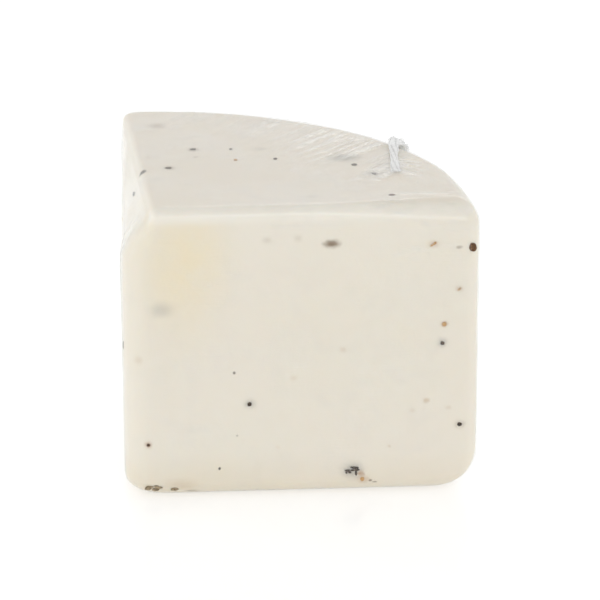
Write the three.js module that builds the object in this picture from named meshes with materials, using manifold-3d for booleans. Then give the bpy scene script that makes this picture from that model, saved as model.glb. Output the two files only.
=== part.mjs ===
// Quarter wedge of a small cheese wheel with cracked pepper in it, wrapped in clear film.
//
// Millimetres, +Z up. The wedge is drawn with the wheel's axis on Z: the front cut lies on the
// XZ plane and faces -Y, the side cut runs back close to +Y, and the base of the cheese is z = 0.
// At the end the whole part is moved so that it stands on z = 0 with its box centred on Z.
import * as THREE from 'three';
import { mergeVertices } from 'three/addons/utils/BufferGeometryUtils.js';
import Module from 'manifold-3d';

// The wheel and the two cuts
const WHEEL_RADIUS = 79.5;
const WHEEL_HEIGHT = 75;
const WEDGE_ANGLE = THREE.MathUtils.degToRad(93.6);
const RIM_TOP_RADIUS = 3.2;
const RIM_BOTTOM_RADIUS = 10.5;
const FRONT_TOP_RADIUS = 2.5;
const SIDE_TOP_RADIUS = 1.5;
const CUT_BOTTOM_RADIUS = 4.5;
const RIND_CORNER_RADIUS = 3;

// The shoulder: near the front end of the rind both top edges open out to these radii, the
// front one from SHOULDER_START outwards and the rim within SHOULDER_TURN of the front cut.
const SHOULDER_FRONT_RADIUS = 6.5;
const SHOULDER_RIM_RADIUS = 5.8;
const SHOULDER_START = 35;
const SHOULDER_TURN = THREE.MathUtils.degToRad(28);
const SHOULDER_WIDTH = 10;

// The thin end of the wedge: crisp at the top, slumped outwards and rounded below it
const POINT_TOP_RADIUS = 2;
const POINT_LOW_RADIUS = 7;
const SLUMP = 7.2;
const SLUMP_DEPTH = 15;

// The film, its mouth where its edges are gathered on the rind, and the twist of gathered film
const FILM_THICKNESS = 0.3;
const FILM_GAP = 0.3;
const MOUTH_RADIUS = 1;
const MOUTH_ROUND = 0.406;
const MOUTH_BELOW_TOP = 10;
const PLEAT_DEPTH = 0.14;
const TWIST_TURN = THREE.MathUtils.degToRad(200);

// Pepper pieces: the gap round each one, and how lumpy they are
const PEPPER_GAP = 0.3;
const PEPPER_LUMPINESS = 0.16;

// How finely the round shapes are divided
const FRONT_STEPS = 6;
const SIDE_STEPS = 6;
const RIND_STEPS = 18;
const CORNER_STEPS = 4;
const RIM_STEPS = 5;
const BELLY_STEPS = 3;
const SLUMP_STEPS = 5;
const TWIST_SIDES = 12;
const TWIST_STEPS = 16;

const CHEESE = { color: 0xe9e1cf, roughness: 0.55, metalness: 0 };
const FILM = { color: 0xf1f2ef, roughness: 0.12, metalness: 0, transparent: true, opacity: 0.25 };
const PEPPER_SKIN = { color: 0x3a2c22, roughness: 0.85, metalness: 0 };
const PEPPER_HEART = { color: 0xb98a55, roughness: 0.85, metalness: 0 };

// Pieces of pepper that break the surface. `out` is the distance from the wheel's axis as a share
// of its radius, `round` the angle from the front cut as a share of the wedge's angle, and `up`
// the height as a share of the wheel's. `turn` is in degrees on the surface.
const PEPPER_PIECES = [
  { face: 'front', out: 0.615, up: 0.079, length: 3.3, width: 2.6, depth: 2.4, turn: 15 },
  { face: 'front', out: 0.645, up: 0.047, length: 1.9, width: 1.4, depth: 2.2, turn: -35, heart: true },
  { face: 'front', out: 0.985, up: 0.856, length: 2.6, width: 2.4, depth: 3.0, turn: 0 },
  { face: 'front', out: 0.860, up: 0.870, length: 2.2, width: 1.3, depth: 1.6, turn: 30, heart: true },
  { face: 'front', out: 0.941, up: 0.712, length: 1.3, width: 1.2, depth: 1.8, turn: 0, heart: true },
  { face: 'front', out: 0.896, up: 0.591, length: 1.5, width: 1.3, depth: 1.6, turn: 20, heart: true },
  { face: 'front', out: 0.891, up: 0.525, length: 1.4, width: 1.3, depth: 1.6, turn: 0 },
  { face: 'front', out: 0.295, up: 0.325, length: 1.4, width: 1.3, depth: 1.6, turn: 40 },
  { face: 'front', out: 0.948, up: 0.236, length: 1.6, width: 1.4, depth: 1.8, turn: 10 },
  { face: 'front', out: -0.020, up: 0.189, length: 1.4, width: 1.3, depth: 3.4, turn: 0 },
  { face: 'front', out: -0.009, up: 0.032, length: 6.2, width: 2.2, depth: 6.4, turn: 4 },
  { face: 'front', out: 0.060, up: 0.025, length: 3.0, width: 1.6, depth: 4.6, turn: 0 },
  { face: 'top', out: 0.595, round: 0.806, length: 2.3, width: 1.7, depth: 1.8, turn: 10 },
  { face: 'top', out: 0.404, round: 0.862, length: 2.2, width: 1.9, depth: 1.8, turn: 0 },
  { face: 'top', out: 0.629, round: 0.692, length: 1.4, width: 1.3, depth: 1.4, turn: 60 },
  { face: 'top', out: 0.542, round: 0.631, length: 1.6, width: 1.3, depth: 1.4, turn: 20, heart: true },
  { face: 'top', out: 0.617, round: 0.525, length: 1.7, width: 1.3, depth: 1.4, turn: -15 },
  { face: 'top', out: 0.757, round: 0.335, length: 2.2, width: 1.8, depth: 1.8, turn: 5 },
  { face: 'top', out: 0.766, round: 0.251, length: 2.3, width: 1.8, depth: 1.8, turn: 25 },
  { face: 'top', out: 0.749, round: 0.083, length: 2.4, width: 1.7, depth: 1.6, turn: -5 },
  { face: 'side', out: 0.368, up: 0.926, length: 2.0, width: 1.6, depth: 2.0, turn: 0 },
  { face: 'side', out: 0.263, up: 0.434, length: 2.8, width: 2.1, depth: 2.0, turn: 50 },
  { face: 'side', out: 0.594, up: 0.750, length: 1.9, width: 1.4, depth: 1.6, turn: -20, heart: true },
  { face: 'side', out: 0.763, up: 0.296, length: 2.4, width: 2.0, depth: 1.8, turn: 10 },
  { face: 'side', out: 0.475, up: 0.158, length: 1.6, width: 1.4, depth: 1.6, turn: 35 },
  { face: 'rind', round: 0.299, up: 0.579, length: 2.2, width: 1.7, depth: 1.6, turn: 15 },
  { face: 'rind', round: 0.609, up: 0.329, length: 2.7, width: 2.0, depth: 1.8, turn: -40 },
  { face: 'rind', round: 0.790, up: 0.789, length: 1.8, width: 1.4, depth: 1.6, turn: 0, heart: true },
];

const wasm = await Module();
wasm.setup();

// Meshes, solids and lofts

function toSolid(geometry) {
  const bare = geometry.clone();
  bare.deleteAttribute('normal');
  bare.deleteAttribute('uv');
  const merged = mergeVertices(bare);
  const vertProperties = new Float32Array(merged.attributes.position.array);
  const triVerts = new Uint32Array(merged.index.array);
  return new wasm.Manifold(new wasm.Mesh({ numProp: 3, vertProperties, triVerts }));
}

function toGeometry(solid) {
  const mesh = solid.getMesh();
  const geometry = new THREE.BufferGeometry();
  geometry.setAttribute('position', new THREE.BufferAttribute(mesh.vertProperties, mesh.numProp));
  geometry.setIndex(new THREE.BufferAttribute(mesh.triVerts, 1));
  geometry.computeVertexNormals();
  return geometry;
}

function namedMesh(name, geometry, finish) {
  const mesh = new THREE.Mesh(geometry, new THREE.MeshStandardMaterial(finish));
  mesh.name = name;
  return mesh;
}

// A closed skin through rings of equally many points, each ring anticlockwise as seen from the
// last one.
function loft(rings) {
  const sides = rings[0].length;
  const points = rings.flat();
  const index = [];
  for (let level = 0; level + 1 < rings.length; level += 1) {
    for (let i = 0; i < sides; i += 1) {
      const a = level * sides + i;
      const b = level * sides + ((i + 1) % sides);
      index.push(a, b, b + sides, a, b + sides, a + sides);
    }
  }
  const lastRing = (rings.length - 1) * sides;
  const bottomCentre = points.push(middleOf(rings[0])) - 1;
  const topCentre = points.push(middleOf(rings[rings.length - 1])) - 1;
  for (let i = 0; i < sides; i += 1) {
    const next = (i + 1) % sides;
    index.push(bottomCentre, next, i);
    index.push(topCentre, lastRing + i, lastRing + next);
  }
  const geometry = new THREE.BufferGeometry().setFromPoints(points);
  geometry.setIndex(index);
  return geometry;
}

function middleOf(ring) {
  const sum = ring.reduce((total, point) => total.add(point), new THREE.Vector3());
  return sum.divideScalar(ring.length);
}

// The wedge's outline at one height

// How far a side stands back at height z, where it rounds into the top and the base. `grow` is
// how far the whole surface lies outside the cheese.
function edgeInset(z, topRadius, bottomRadius, grow) {
  const top = topRadius + grow;
  const bottom = bottomRadius + grow;
  const intoTop = THREE.MathUtils.clamp(z - (WHEEL_HEIGHT - topRadius), 0, top);
  const intoBottom = THREE.MathUtils.clamp(bottomRadius - z, 0, bottom);
  const roundTop = top - Math.sqrt(top ** 2 - intoTop ** 2);
  const roundBottom = bottom - Math.sqrt(bottom ** 2 - intoBottom ** 2);
  return roundTop + roundBottom - grow;
}

// The share of the slump reached at height z. Cheese swells out in a soft curve, and film
// spans the hollow above the swelling in a straight line that ends where it meets the curve.
const SWELL = (share) => (1 - Math.cos(Math.PI * share)) / 2;
const FILM_MEETS_SWELL = 0.742;

function depthShare(z) {
  return THREE.MathUtils.clamp((WHEEL_HEIGHT - z) / SLUMP_DEPTH, 0, 1);
}

function slumpShare(z, isFilm) {
  const share = depthShare(z);
  if (isFilm && share < FILM_MEETS_SWELL) {
    return SWELL(FILM_MEETS_SWELL) * share / FILM_MEETS_SWELL;
  }
  return SWELL(share);
}

// How far taut film stands out from the straight side at height z, a share `along` of the way
// from the rind to the thin end: it spans from the top back corner to the swelling.
function filmSpan(z, along) {
  const down = Math.min(1, depthShare(z) / FILM_MEETS_SWELL);
  return SLUMP * SWELL(FILM_MEETS_SWELL) * Math.min(along * (1 - down), down * (1 - along));
}

// How much further in a top edge stands at height z when its radius opens out from one to another.
function openedOut(z, from, to, grow) {
  const inset = (radius) => edgeInset(Math.max(z, WHEEL_HEIGHT / 2), radius, 0, grow);
  return inset(to) - inset(from);
}

// Moves a spot of the outline in where the shoulder is softer than the plain edges.
function softenShoulder(spot, z, grow) {
  const fromAxis = spot.length();
  const angle = Math.max(0, Math.atan2(spot.y, spot.x));
  const openFront = THREE.MathUtils.smoothstep(spot.x, SHOULDER_START, WHEEL_RADIUS);
  const openRim = 1 - THREE.MathUtils.smoothstep(angle, 0, SHOULDER_TURN);
  const frontRadius = THREE.MathUtils.lerp(FRONT_TOP_RADIUS, SHOULDER_FRONT_RADIUS, openFront);
  const rimRadius = THREE.MathUtils.lerp(RIM_TOP_RADIUS, SHOULDER_RIM_RADIUS, openRim);
  const nearFront = 1 - THREE.MathUtils.smoothstep(spot.y, 0, SHOULDER_WIDTH);
  const nearRind = THREE.MathUtils.smoothstep(
    fromAxis, WHEEL_RADIUS - 2 * SHOULDER_WIDTH, WHEEL_RADIUS - SHOULDER_WIDTH);
  const inwards = openedOut(z, RIM_TOP_RADIUS, rimRadius, grow) * nearRind;
  spot.multiplyScalar(1 - inwards / fromAxis);
  spot.y += openedOut(z, FRONT_TOP_RADIUS, frontRadius, grow) * nearFront;
}

function roundedCorner(corner, towardsLast, towardsNext, radius) {
  const points = [];
  for (let step = 0; step <= CORNER_STEPS; step += 1) {
    const angle = (Math.PI / 2) * (step / CORNER_STEPS);
    const point = corner.clone();
    point.addScaledVector(towardsLast, radius * (1 - Math.sin(angle)));
    point.addScaledVector(towardsNext, radius * (1 - Math.cos(angle)));
    points.push(point);
  }
  return points;
}

function between(start, end, steps) {
  const points = [];
  for (let step = 1; step < steps; step += 1) {
    points.push(start.clone().lerp(end, step / steps));
  }
  return points;
}

function onRind(radius, angle) {
  return new THREE.Vector2(radius * Math.cos(angle), radius * Math.sin(angle));
}

// The side cut at height z: its thin end, pushed out by the slump, and its direction.
function sideCut(z, isFilm) {
  const thinEnd = new THREE.Vector2(-SLUMP * slumpShare(z, isFilm), 0);
  const direction = onRind(WHEEL_RADIUS, WEDGE_ANGLE).sub(thinEnd).normalize();
  const inward = new THREE.Vector2(direction.y, -direction.x);
  return { thinEnd, direction, inward };
}

function wedgeRing(z, grow, isFilm) {
  const front = edgeInset(z, FRONT_TOP_RADIUS, CUT_BOTTOM_RADIUS, grow);
  const side = edgeInset(z, SIDE_TOP_RADIUS, CUT_BOTTOM_RADIUS, grow);
  const radius = WHEEL_RADIUS - edgeInset(z, RIM_TOP_RADIUS, RIM_BOTTOM_RADIUS, grow);
  const cut = sideCut(z, isFilm);
  const alongFront = new THREE.Vector2(1, 0);

  const sideStart = cut.thinEnd.clone().addScaledVector(cut.inward, side);
  const point = sideStart.clone().addScaledVector(cut.direction, (front - sideStart.y) / cut.direction.y);
  const frontCorner = new THREE.Vector2(Math.sqrt(radius ** 2 - front ** 2), front);
  const startAlongCut = sideStart.dot(cut.direction);
  const reach = Math.sqrt(startAlongCut ** 2 - sideStart.lengthSq() + radius ** 2) - startAlongCut;
  const backCorner = sideStart.clone().addScaledVector(cut.direction, reach);

  const pointRadius = grow + THREE.MathUtils.lerp(
    POINT_TOP_RADIUS, POINT_LOW_RADIUS, slumpShare(z, isFilm));
  const cornerRadius = RIND_CORNER_RADIUS + grow;
  const frontAngle = Math.atan2(frontCorner.y, frontCorner.x);
  const backAngle = Math.atan2(backCorner.y, backCorner.x);
  const atFront = frontAngle + cornerRadius / radius;
  const atBack = backAngle - cornerRadius / radius;
  const roundTheRind = [];
  for (let step = 1; step < RIND_STEPS; step += 1) {
    roundTheRind.push(onRind(radius, THREE.MathUtils.lerp(atFront, atBack, step / RIND_STEPS)));
  }
  const pointCorner = roundedCorner(point, cut.direction, alongFront, pointRadius);
  const frontTangent = onRind(1, frontAngle + Math.PI / 2);
  const backTangent = onRind(1, backAngle - Math.PI / 2);
  const alongFrontBack = alongFront.clone().negate();
  const alongSideBack = cut.direction.clone().negate();
  const rindFront = roundedCorner(frontCorner, alongFrontBack, frontTangent, cornerRadius);
  const rindBack = roundedCorner(backCorner, backTangent, alongSideBack, cornerRadius);
  const alongSide = between(rindBack[CORNER_STEPS], pointCorner[0], SIDE_STEPS);
  if (isFilm) {
    alongSide.forEach((spot, i) => spot.addScaledVector(cut.inward, -filmSpan(z, (i + 1) / SIDE_STEPS)));
  }
  const outline = [
    ...pointCorner,
    ...between(pointCorner[CORNER_STEPS], rindFront[0], FRONT_STEPS),
    ...rindFront,
    ...roundTheRind,
    ...rindBack,
    ...alongSide,
  ];
  outline.filter((spot) => spot.x > SHOULDER_START).forEach((spot) => softenShoulder(spot, z, grow));
  return outline.map((spot) => new THREE.Vector3(spot.x, spot.y, z));
}

function ringHeights(grow) {
  const bottomRadius = RIM_BOTTOM_RADIUS + grow;
  const topRadius = RIM_TOP_RADIUS + grow;
  const slumpStart = WHEEL_HEIGHT - SLUMP_DEPTH;
  const heights = [];
  for (let step = 0; step <= RIM_STEPS; step += 1) {
    heights.push(-grow + bottomRadius * (1 - Math.cos((Math.PI / 2) * (step / RIM_STEPS))));
  }
  for (let step = 1; step <= BELLY_STEPS; step += 1) {
    heights.push(THREE.MathUtils.lerp(RIM_BOTTOM_RADIUS, slumpStart, step / BELLY_STEPS));
  }
  for (let step = 1; step < SLUMP_STEPS; step += 1) {
    heights.push(THREE.MathUtils.lerp(slumpStart, WHEEL_HEIGHT - RIM_TOP_RADIUS, step / SLUMP_STEPS));
  }
  for (let step = RIM_STEPS; step >= 0; step -= 1) {
    heights.push(WHEEL_HEIGHT + grow - topRadius * (1 - Math.cos((Math.PI / 2) * (step / RIM_STEPS))));
  }
  return heights;
}

function wedgeSolid(grow, isFilm) {
  return toSolid(loft(ringHeights(grow).map((z) => wedgeRing(z, grow, isFilm))));
}

// Pepper

// A place on the surface, as a matrix whose Z axis points out of the cheese.
function surfacePlace(piece) {
  const reach = WHEEL_RADIUS * (piece.out ?? 1);
  const angle = WEDGE_ANGLE * (piece.round ?? 0);
  const height = WHEEL_HEIGHT * (piece.up ?? 1);
  const flat = onRind(reach, angle);
  const spot = new THREE.Vector3(flat.x, flat.y, height);
  const outward = new THREE.Vector3(0, 0, 1);
  const right = new THREE.Vector3(1, 0, 0);
  if (piece.face === 'front') {
    outward.set(0, -1, 0);
  } else if (piece.face === 'side') {
    const cut = sideCut(height, false);
    const onCut = cut.thinEnd.clone().addScaledVector(cut.direction, reach);
    spot.set(onCut.x, onCut.y, height);
    outward.set(-cut.inward.x, -cut.inward.y, 0);
    right.set(-cut.direction.x, -cut.direction.y, 0);
  } else if (piece.face === 'rind') {
    outward.set(Math.cos(angle), Math.sin(angle), 0);
    right.set(-Math.sin(angle), Math.cos(angle), 0);
  }
  const upward = outward.clone().cross(right);
  const spin = new THREE.Matrix4().makeRotationZ(THREE.MathUtils.degToRad(piece.turn));
  return new THREE.Matrix4().makeBasis(right, upward, outward).setPosition(spot).multiply(spin);
}

// A lumpy stone shape of the piece's size, larger all round by `gap`.
function lump(piece, number, gap) {
  const geometry = new THREE.IcosahedronGeometry(1, piece.length > 2 ? 1 : 0);
  const place = geometry.attributes.position;
  const corner = new THREE.Vector3();
  for (let i = 0; i < place.count; i += 1) {
    corner.fromBufferAttribute(place, i);
    const wave = Math.sin(5 * corner.x + number) * Math.cos(4 * corner.y - 2 * number);
    const bump = 1 + PEPPER_LUMPINESS * wave * Math.cos(3 * corner.z + number);
    corner.multiplyScalar(bump);
    corner.x *= piece.length / 2 + gap;
    corner.y *= piece.width / 2 + gap;
    corner.z *= piece.depth / 2 + gap;
    place.setXYZ(i, corner.x, corner.y, corner.z);
  }
  geometry.applyMatrix4(surfacePlace(piece));
  return toSolid(geometry);
}

function pepperMeshes(cheese) {
  const counts = {};
  return PEPPER_PIECES.map((piece, number) => {
    counts[piece.face] = (counts[piece.face] ?? 0) + 1;
    const name = `pepper_${piece.face}_${String(counts[piece.face]).padStart(2, '0')}`;
    const sliced = lump(piece, number, 0).intersect(cheese);
    return namedMesh(name, toGeometry(sliced), piece.heart ? PEPPER_HEART : PEPPER_SKIN);
  });
}

function cheeseMesh(cheese) {
  let cut = cheese;
  PEPPER_PIECES.forEach((piece, number) => {
    cut = cut.subtract(lump(piece, number, PEPPER_GAP));
  });
  return namedMesh('cheese_wedge', toGeometry(cut), CHEESE);
}

// Film

// A point `lift` outside the cheese, in the upright plane at a share of the wedge's angle.
// `along` is measured on the skin from the middle of the rounded rim: inwards over the top where
// it is positive, down the rind where it is negative.
function overSkin(round, along, lift) {
  const angle = WEDGE_ANGLE * round;
  const halfRim = RIM_TOP_RADIUS * Math.PI / 4;
  const onRim = THREE.MathUtils.clamp(along, -halfRim, halfRim);
  const slope = Math.PI / 4 + onRim / RIM_TOP_RADIUS;
  const inwards = Math.max(0, along - halfRim);
  const down = Math.max(0, -along - halfRim);
  const swing = RIM_TOP_RADIUS + lift;
  const reach = WHEEL_RADIUS - RIM_TOP_RADIUS + swing * Math.cos(slope) - inwards;
  const height = WHEEL_HEIGHT - RIM_TOP_RADIUS + swing * Math.sin(slope) - down;
  const normal = new THREE.Vector3(Math.cos(slope) * Math.cos(angle),
    Math.cos(slope) * Math.sin(angle), Math.sin(slope));
  const flat = onRind(reach, angle);
  return { spot: new THREE.Vector3(flat.x, flat.y, height), normal };
}

// The sheet, closed all round and under the base. Its one opening is the mouth in the rind side,
// where the edges of the sheet are gathered.
function filmMesh() {
  const outside = wedgeSolid(FILM_GAP + FILM_THICKNESS, true);
  const inside = wedgeSolid(FILM_GAP, true);
  const depth = 4 * (FILM_GAP + FILM_THICKNESS);
  const mouth = new THREE.CylinderGeometry(MOUTH_RADIUS, MOUTH_RADIUS, depth, TWIST_SIDES);
  mouth.rotateZ(Math.PI / 2);
  mouth.translate(WHEEL_RADIUS + FILM_GAP, 0, WHEEL_HEIGHT - MOUTH_BELOW_TOP);
  mouth.rotateZ(WEDGE_ANGLE * MOUTH_ROUND);
  return namedMesh('film_wrap', toGeometry(outside.subtract(inside).subtract(toSolid(mouth))), FILM);
}

// The twist's stations from the mouth, over the rim in a loose bunch, to its tip on the top:
// [share of the wedge's angle, distance along the skin from the rim, half width, half height].
const TWIST_STATIONS = [
  [MOUTH_ROUND, 1 - MOUTH_BELOW_TOP, 1.6, 0.5],
  [0.401, -4.8, 1.4, 0.7],
  [0.390, 0, 2.4, 1.0],
  [0.371, 2.9, 1.3, 0.75],
  [0.335, 6.3, 0.95, 0.65],
  [0.284, 10.1, 0.95, 0.65],
  [0.230, 13.0, 0.7, 0.45],
];

function twistMesh() {
  const route = new THREE.SplineCurve(
    TWIST_STATIONS.map(([round, along]) => new THREE.Vector2(round, along)));
  const girth = new THREE.SplineCurve(
    TWIST_STATIONS.map(([, , wide, high]) => new THREE.Vector2(wide, high)));
  const rest = 2 * FILM_GAP + FILM_THICKNESS;
  const places = [];
  for (let step = 0; step <= TWIST_STEPS; step += 1) {
    const share = step / TWIST_STEPS;
    const { x: round, y: along } = route.getPoint(share);
    const { x: wide, y: high } = girth.getPoint(share);
    places.push({ share, wide, high, ...overSkin(round, along, rest + high * (1 + PLEAT_DEPTH)) });
  }
  const rings = places.map(({ share, wide, high, spot, normal }, step) => {
    const ahead = places[Math.min(step + 1, TWIST_STEPS)].spot;
    const behind = places[Math.max(step - 1, 0)].spot;
    const sideways = normal.clone().cross(ahead.clone().sub(behind)).normalize();
    const ring = [];
    for (let i = 0; i < TWIST_SIDES; i += 1) {
      const angle = (2 * Math.PI * i) / TWIST_SIDES;
      const pleat = 1 + PLEAT_DEPTH * Math.cos(4 * angle + share * TWIST_TURN);
      const point = spot.clone();
      point.addScaledVector(sideways, wide * pleat * Math.cos(angle));
      point.addScaledVector(normal, high * pleat * Math.sin(angle));
      ring.push(point);
    }
    return ring;
  });
  return namedMesh('film_twist', toGeometry(toSolid(loft(rings))), FILM);
}

// The whole part, moved to stand on z = 0 with its box centred on Z

const wedge = new THREE.Group();
const wholeCheese = wedgeSolid(0, false);
wedge.add(cheeseMesh(wholeCheese), ...pepperMeshes(wholeCheese), filmMesh(), twistMesh());

const box = new THREE.Box3().setFromObject(wedge);
const centre = box.getCenter(new THREE.Vector3());
wedge.position.set(-centre.x, -centre.y, -box.min.z);

const part = new THREE.Group();
part.add(wedge);

export default part;
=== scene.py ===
import math

import bmesh
import bpy
import numpy as np
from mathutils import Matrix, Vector


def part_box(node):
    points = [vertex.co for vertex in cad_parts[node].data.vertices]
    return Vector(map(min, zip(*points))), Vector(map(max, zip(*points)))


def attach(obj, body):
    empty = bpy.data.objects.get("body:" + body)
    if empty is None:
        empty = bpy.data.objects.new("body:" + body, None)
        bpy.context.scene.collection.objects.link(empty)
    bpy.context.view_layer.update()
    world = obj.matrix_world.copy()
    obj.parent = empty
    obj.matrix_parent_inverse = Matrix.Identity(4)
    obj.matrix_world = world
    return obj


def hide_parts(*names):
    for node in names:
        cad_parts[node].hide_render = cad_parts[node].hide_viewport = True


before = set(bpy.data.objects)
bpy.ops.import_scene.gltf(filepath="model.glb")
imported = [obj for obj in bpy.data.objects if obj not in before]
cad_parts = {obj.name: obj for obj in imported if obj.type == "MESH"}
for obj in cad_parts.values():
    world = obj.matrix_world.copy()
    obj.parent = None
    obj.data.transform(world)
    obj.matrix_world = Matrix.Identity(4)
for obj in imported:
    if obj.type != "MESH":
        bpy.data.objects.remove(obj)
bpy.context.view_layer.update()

# Wrapped quarter of a small pepper cheese. Shapes are worked out in millimetres in the wheel's own
# frame, with the wheel's axis on Z and the base of the cheese at 0, as the part's source has them.
RADIUS = 79.5
HEIGHT = 75
WEDGE = math.radians(93.6)
RIM_TOP = 3.2
RIM_BOTTOM = 10.5
FRONT_TOP = 2.5
SIDE_TOP = 1.5
CUT_BOTTOM = 4.5
RIND_CORNER = 3
SHOULDER_FRONT = 6.5
SHOULDER_RIM = 5.8
SHOULDER_START = 35
SHOULDER_TURN = math.radians(28)
SHOULDER_WIDTH = 10
POINT_TOP = 2
POINT_LOW = 7
SLUMP = 7.2
SLUMP_DEPTH = 15
FILM_MEETS_SWELL = 0.742
CHEESE_FILLS = 0.3
FILM_INSIDE = 0.42
FILM_OUTSIDE = 0.45
MOUTH_ANGLE = WEDGE * 0.406
MOUTH_HEIGHT = HEIGHT - 10

cheese_low, cheese_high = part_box("cheese_wedge")
AXIS = np.array((cheese_high.x * 1000 - RADIUS, cheese_low.y * 1000, cheese_low.z * 1000))


def to_frame(points):
    return (np.asarray(points, float) + AXIS) / 1000


# ---------------------------------------------------------------- shader maths

class Value:
    """What a node gives out, with Python's own operators for sums on it."""

    def __init__(self, look, socket):
        self.look = look
        self.socket = socket

    def sum(self, operation, *others, clamp=False):
        settings = {"operation": operation, "use_clamp": clamp}
        return self.look.node("ShaderNodeMath", settings, dict(enumerate(others)))

    def __add__(self, other):
        return self.sum("ADD", self, other)

    def __radd__(self, other):
        return self.sum("ADD", other, self)

    def __sub__(self, other):
        return self.sum("SUBTRACT", self, other)

    def __rsub__(self, other):
        return self.sum("SUBTRACT", other, self)

    def __mul__(self, other):
        return self.sum("MULTIPLY", self, other)

    def __rmul__(self, other):
        return self.sum("MULTIPLY", other, self)

    def __truediv__(self, other):
        return self.sum("DIVIDE", self, other)

    def __pow__(self, other):
        return self.sum("POWER", self, other)

    def clamped(self):
        return self.sum("ADD", self, 0.0, clamp=True)


class Look:
    """A material, and the one method that adds its nodes."""

    def __init__(self, name):
        self.material = bpy.data.materials.new(name)
        self.material.use_nodes = True
        self.tree = self.material.node_tree
        self.tree.nodes.clear()

    def node(self, kind, settings=None, inputs=None, output=0):
        made = self.tree.nodes.new(kind)
        for name, value in (settings or {}).items():
            setattr(made, name, value)
        for name, value in (inputs or {}).items():
            if isinstance(value, Value):
                self.tree.links.new(value.socket, made.inputs[name])
            else:
                made.inputs[name].default_value = value
        return Value(self, made.outputs[output])

    def surface(self, shader):
        end = self.tree.nodes.new("ShaderNodeOutputMaterial")
        self.tree.links.new(shader.socket, end.inputs["Surface"])
        return self.material

    def place(self):
        """The point on the surface in millimetres in the wheel's own frame."""
        here = self.node("ShaderNodeTexCoord", output="Object")
        scaled = self.vector("SCALE", here, Scale=1000.0)
        return self.vector("SUBTRACT", scaled, tuple(AXIS))

    def vector(self, operation, first, second=None, output=0, **named):
        inputs = {0: first, **named}
        if second is not None:
            inputs[1] = second
        return self.node("ShaderNodeVectorMath", {"operation": operation}, inputs, output)

    def coordinate(self, place, axis):
        return self.node("ShaderNodeSeparateXYZ", None, {0: place}, axis)

    def noise(self, place, scale, detail=3.0, roughness=0.5, stretch=(1, 1, 1)):
        stretched = self.vector("MULTIPLY", place, stretch)
        inputs = {"Vector": stretched, "Scale": scale, "Detail": detail, "Roughness": roughness}
        return self.node("ShaderNodeTexNoise", None, inputs)

    def ramp(self, value, low, high, start=0.0, end=1.0):
        """Goes smoothly from start to end as the value goes from low to high."""
        inputs = {"Value": value, "From Min": low, "From Max": high, "To Min": start, "To Max": end}
        return self.node("ShaderNodeMapRange", {"interpolation_type": "SMOOTHSTEP"}, inputs)

    def blend(self, share, first, second):
        return self.node("ShaderNodeMix", {"data_type": "RGBA"}, {0: share, 6: first, 7: second}, 2)

    def attribute(self, name):
        return self.node("ShaderNodeAttribute", {"attribute_name": name}, None, "Fac")

    def bump(self, height, distance):
        return self.node("ShaderNodeBump", None, {"Height": height, "Distance": distance})


def tint(red, green, blue):
    return (red, green, blue, 1.0)


# ---------------------------------------------------------------- the wedge's shape

def edge_inset(z, top_radius, bottom_radius, grow):
    top = top_radius + grow
    bottom = bottom_radius + grow
    into_top = min(max(z - (HEIGHT - top_radius), 0), top)
    into_bottom = min(max(bottom_radius - z, 0), bottom)
    round_top = top - math.sqrt(top ** 2 - into_top ** 2)
    round_bottom = bottom - math.sqrt(bottom ** 2 - into_bottom ** 2)
    return round_top + round_bottom - grow


def swell(share):
    return (1 - math.cos(math.pi * share)) / 2


def depth_share(z):
    return min(max((HEIGHT - z) / SLUMP_DEPTH, 0), 1)


def slump_share(z, is_film):
    share = depth_share(z)
    if is_film and share < FILM_MEETS_SWELL:
        return swell(FILM_MEETS_SWELL) * share / FILM_MEETS_SWELL
    return swell(share)


def corner_arc(corner, to_last, to_next, radius, steps):
    turn = np.linspace(0, math.pi / 2, steps)[:, None]
    return corner + to_last * radius * (1 - np.sin(turn)) + to_next * radius * (1 - np.cos(turn))


def between(start, end, steps):
    return np.linspace(start, end, steps + 2)[1:-1]


def side_cut(z, is_film=False):
    thin_end = np.array((-SLUMP * slump_share(z, is_film), 0.0))
    far_end = RADIUS * np.array((math.cos(WEDGE), math.sin(WEDGE)))
    direction = (far_end - thin_end) / np.linalg.norm(far_end - thin_end)
    return thin_end, direction, np.array((direction[1], -direction[0]))


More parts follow.
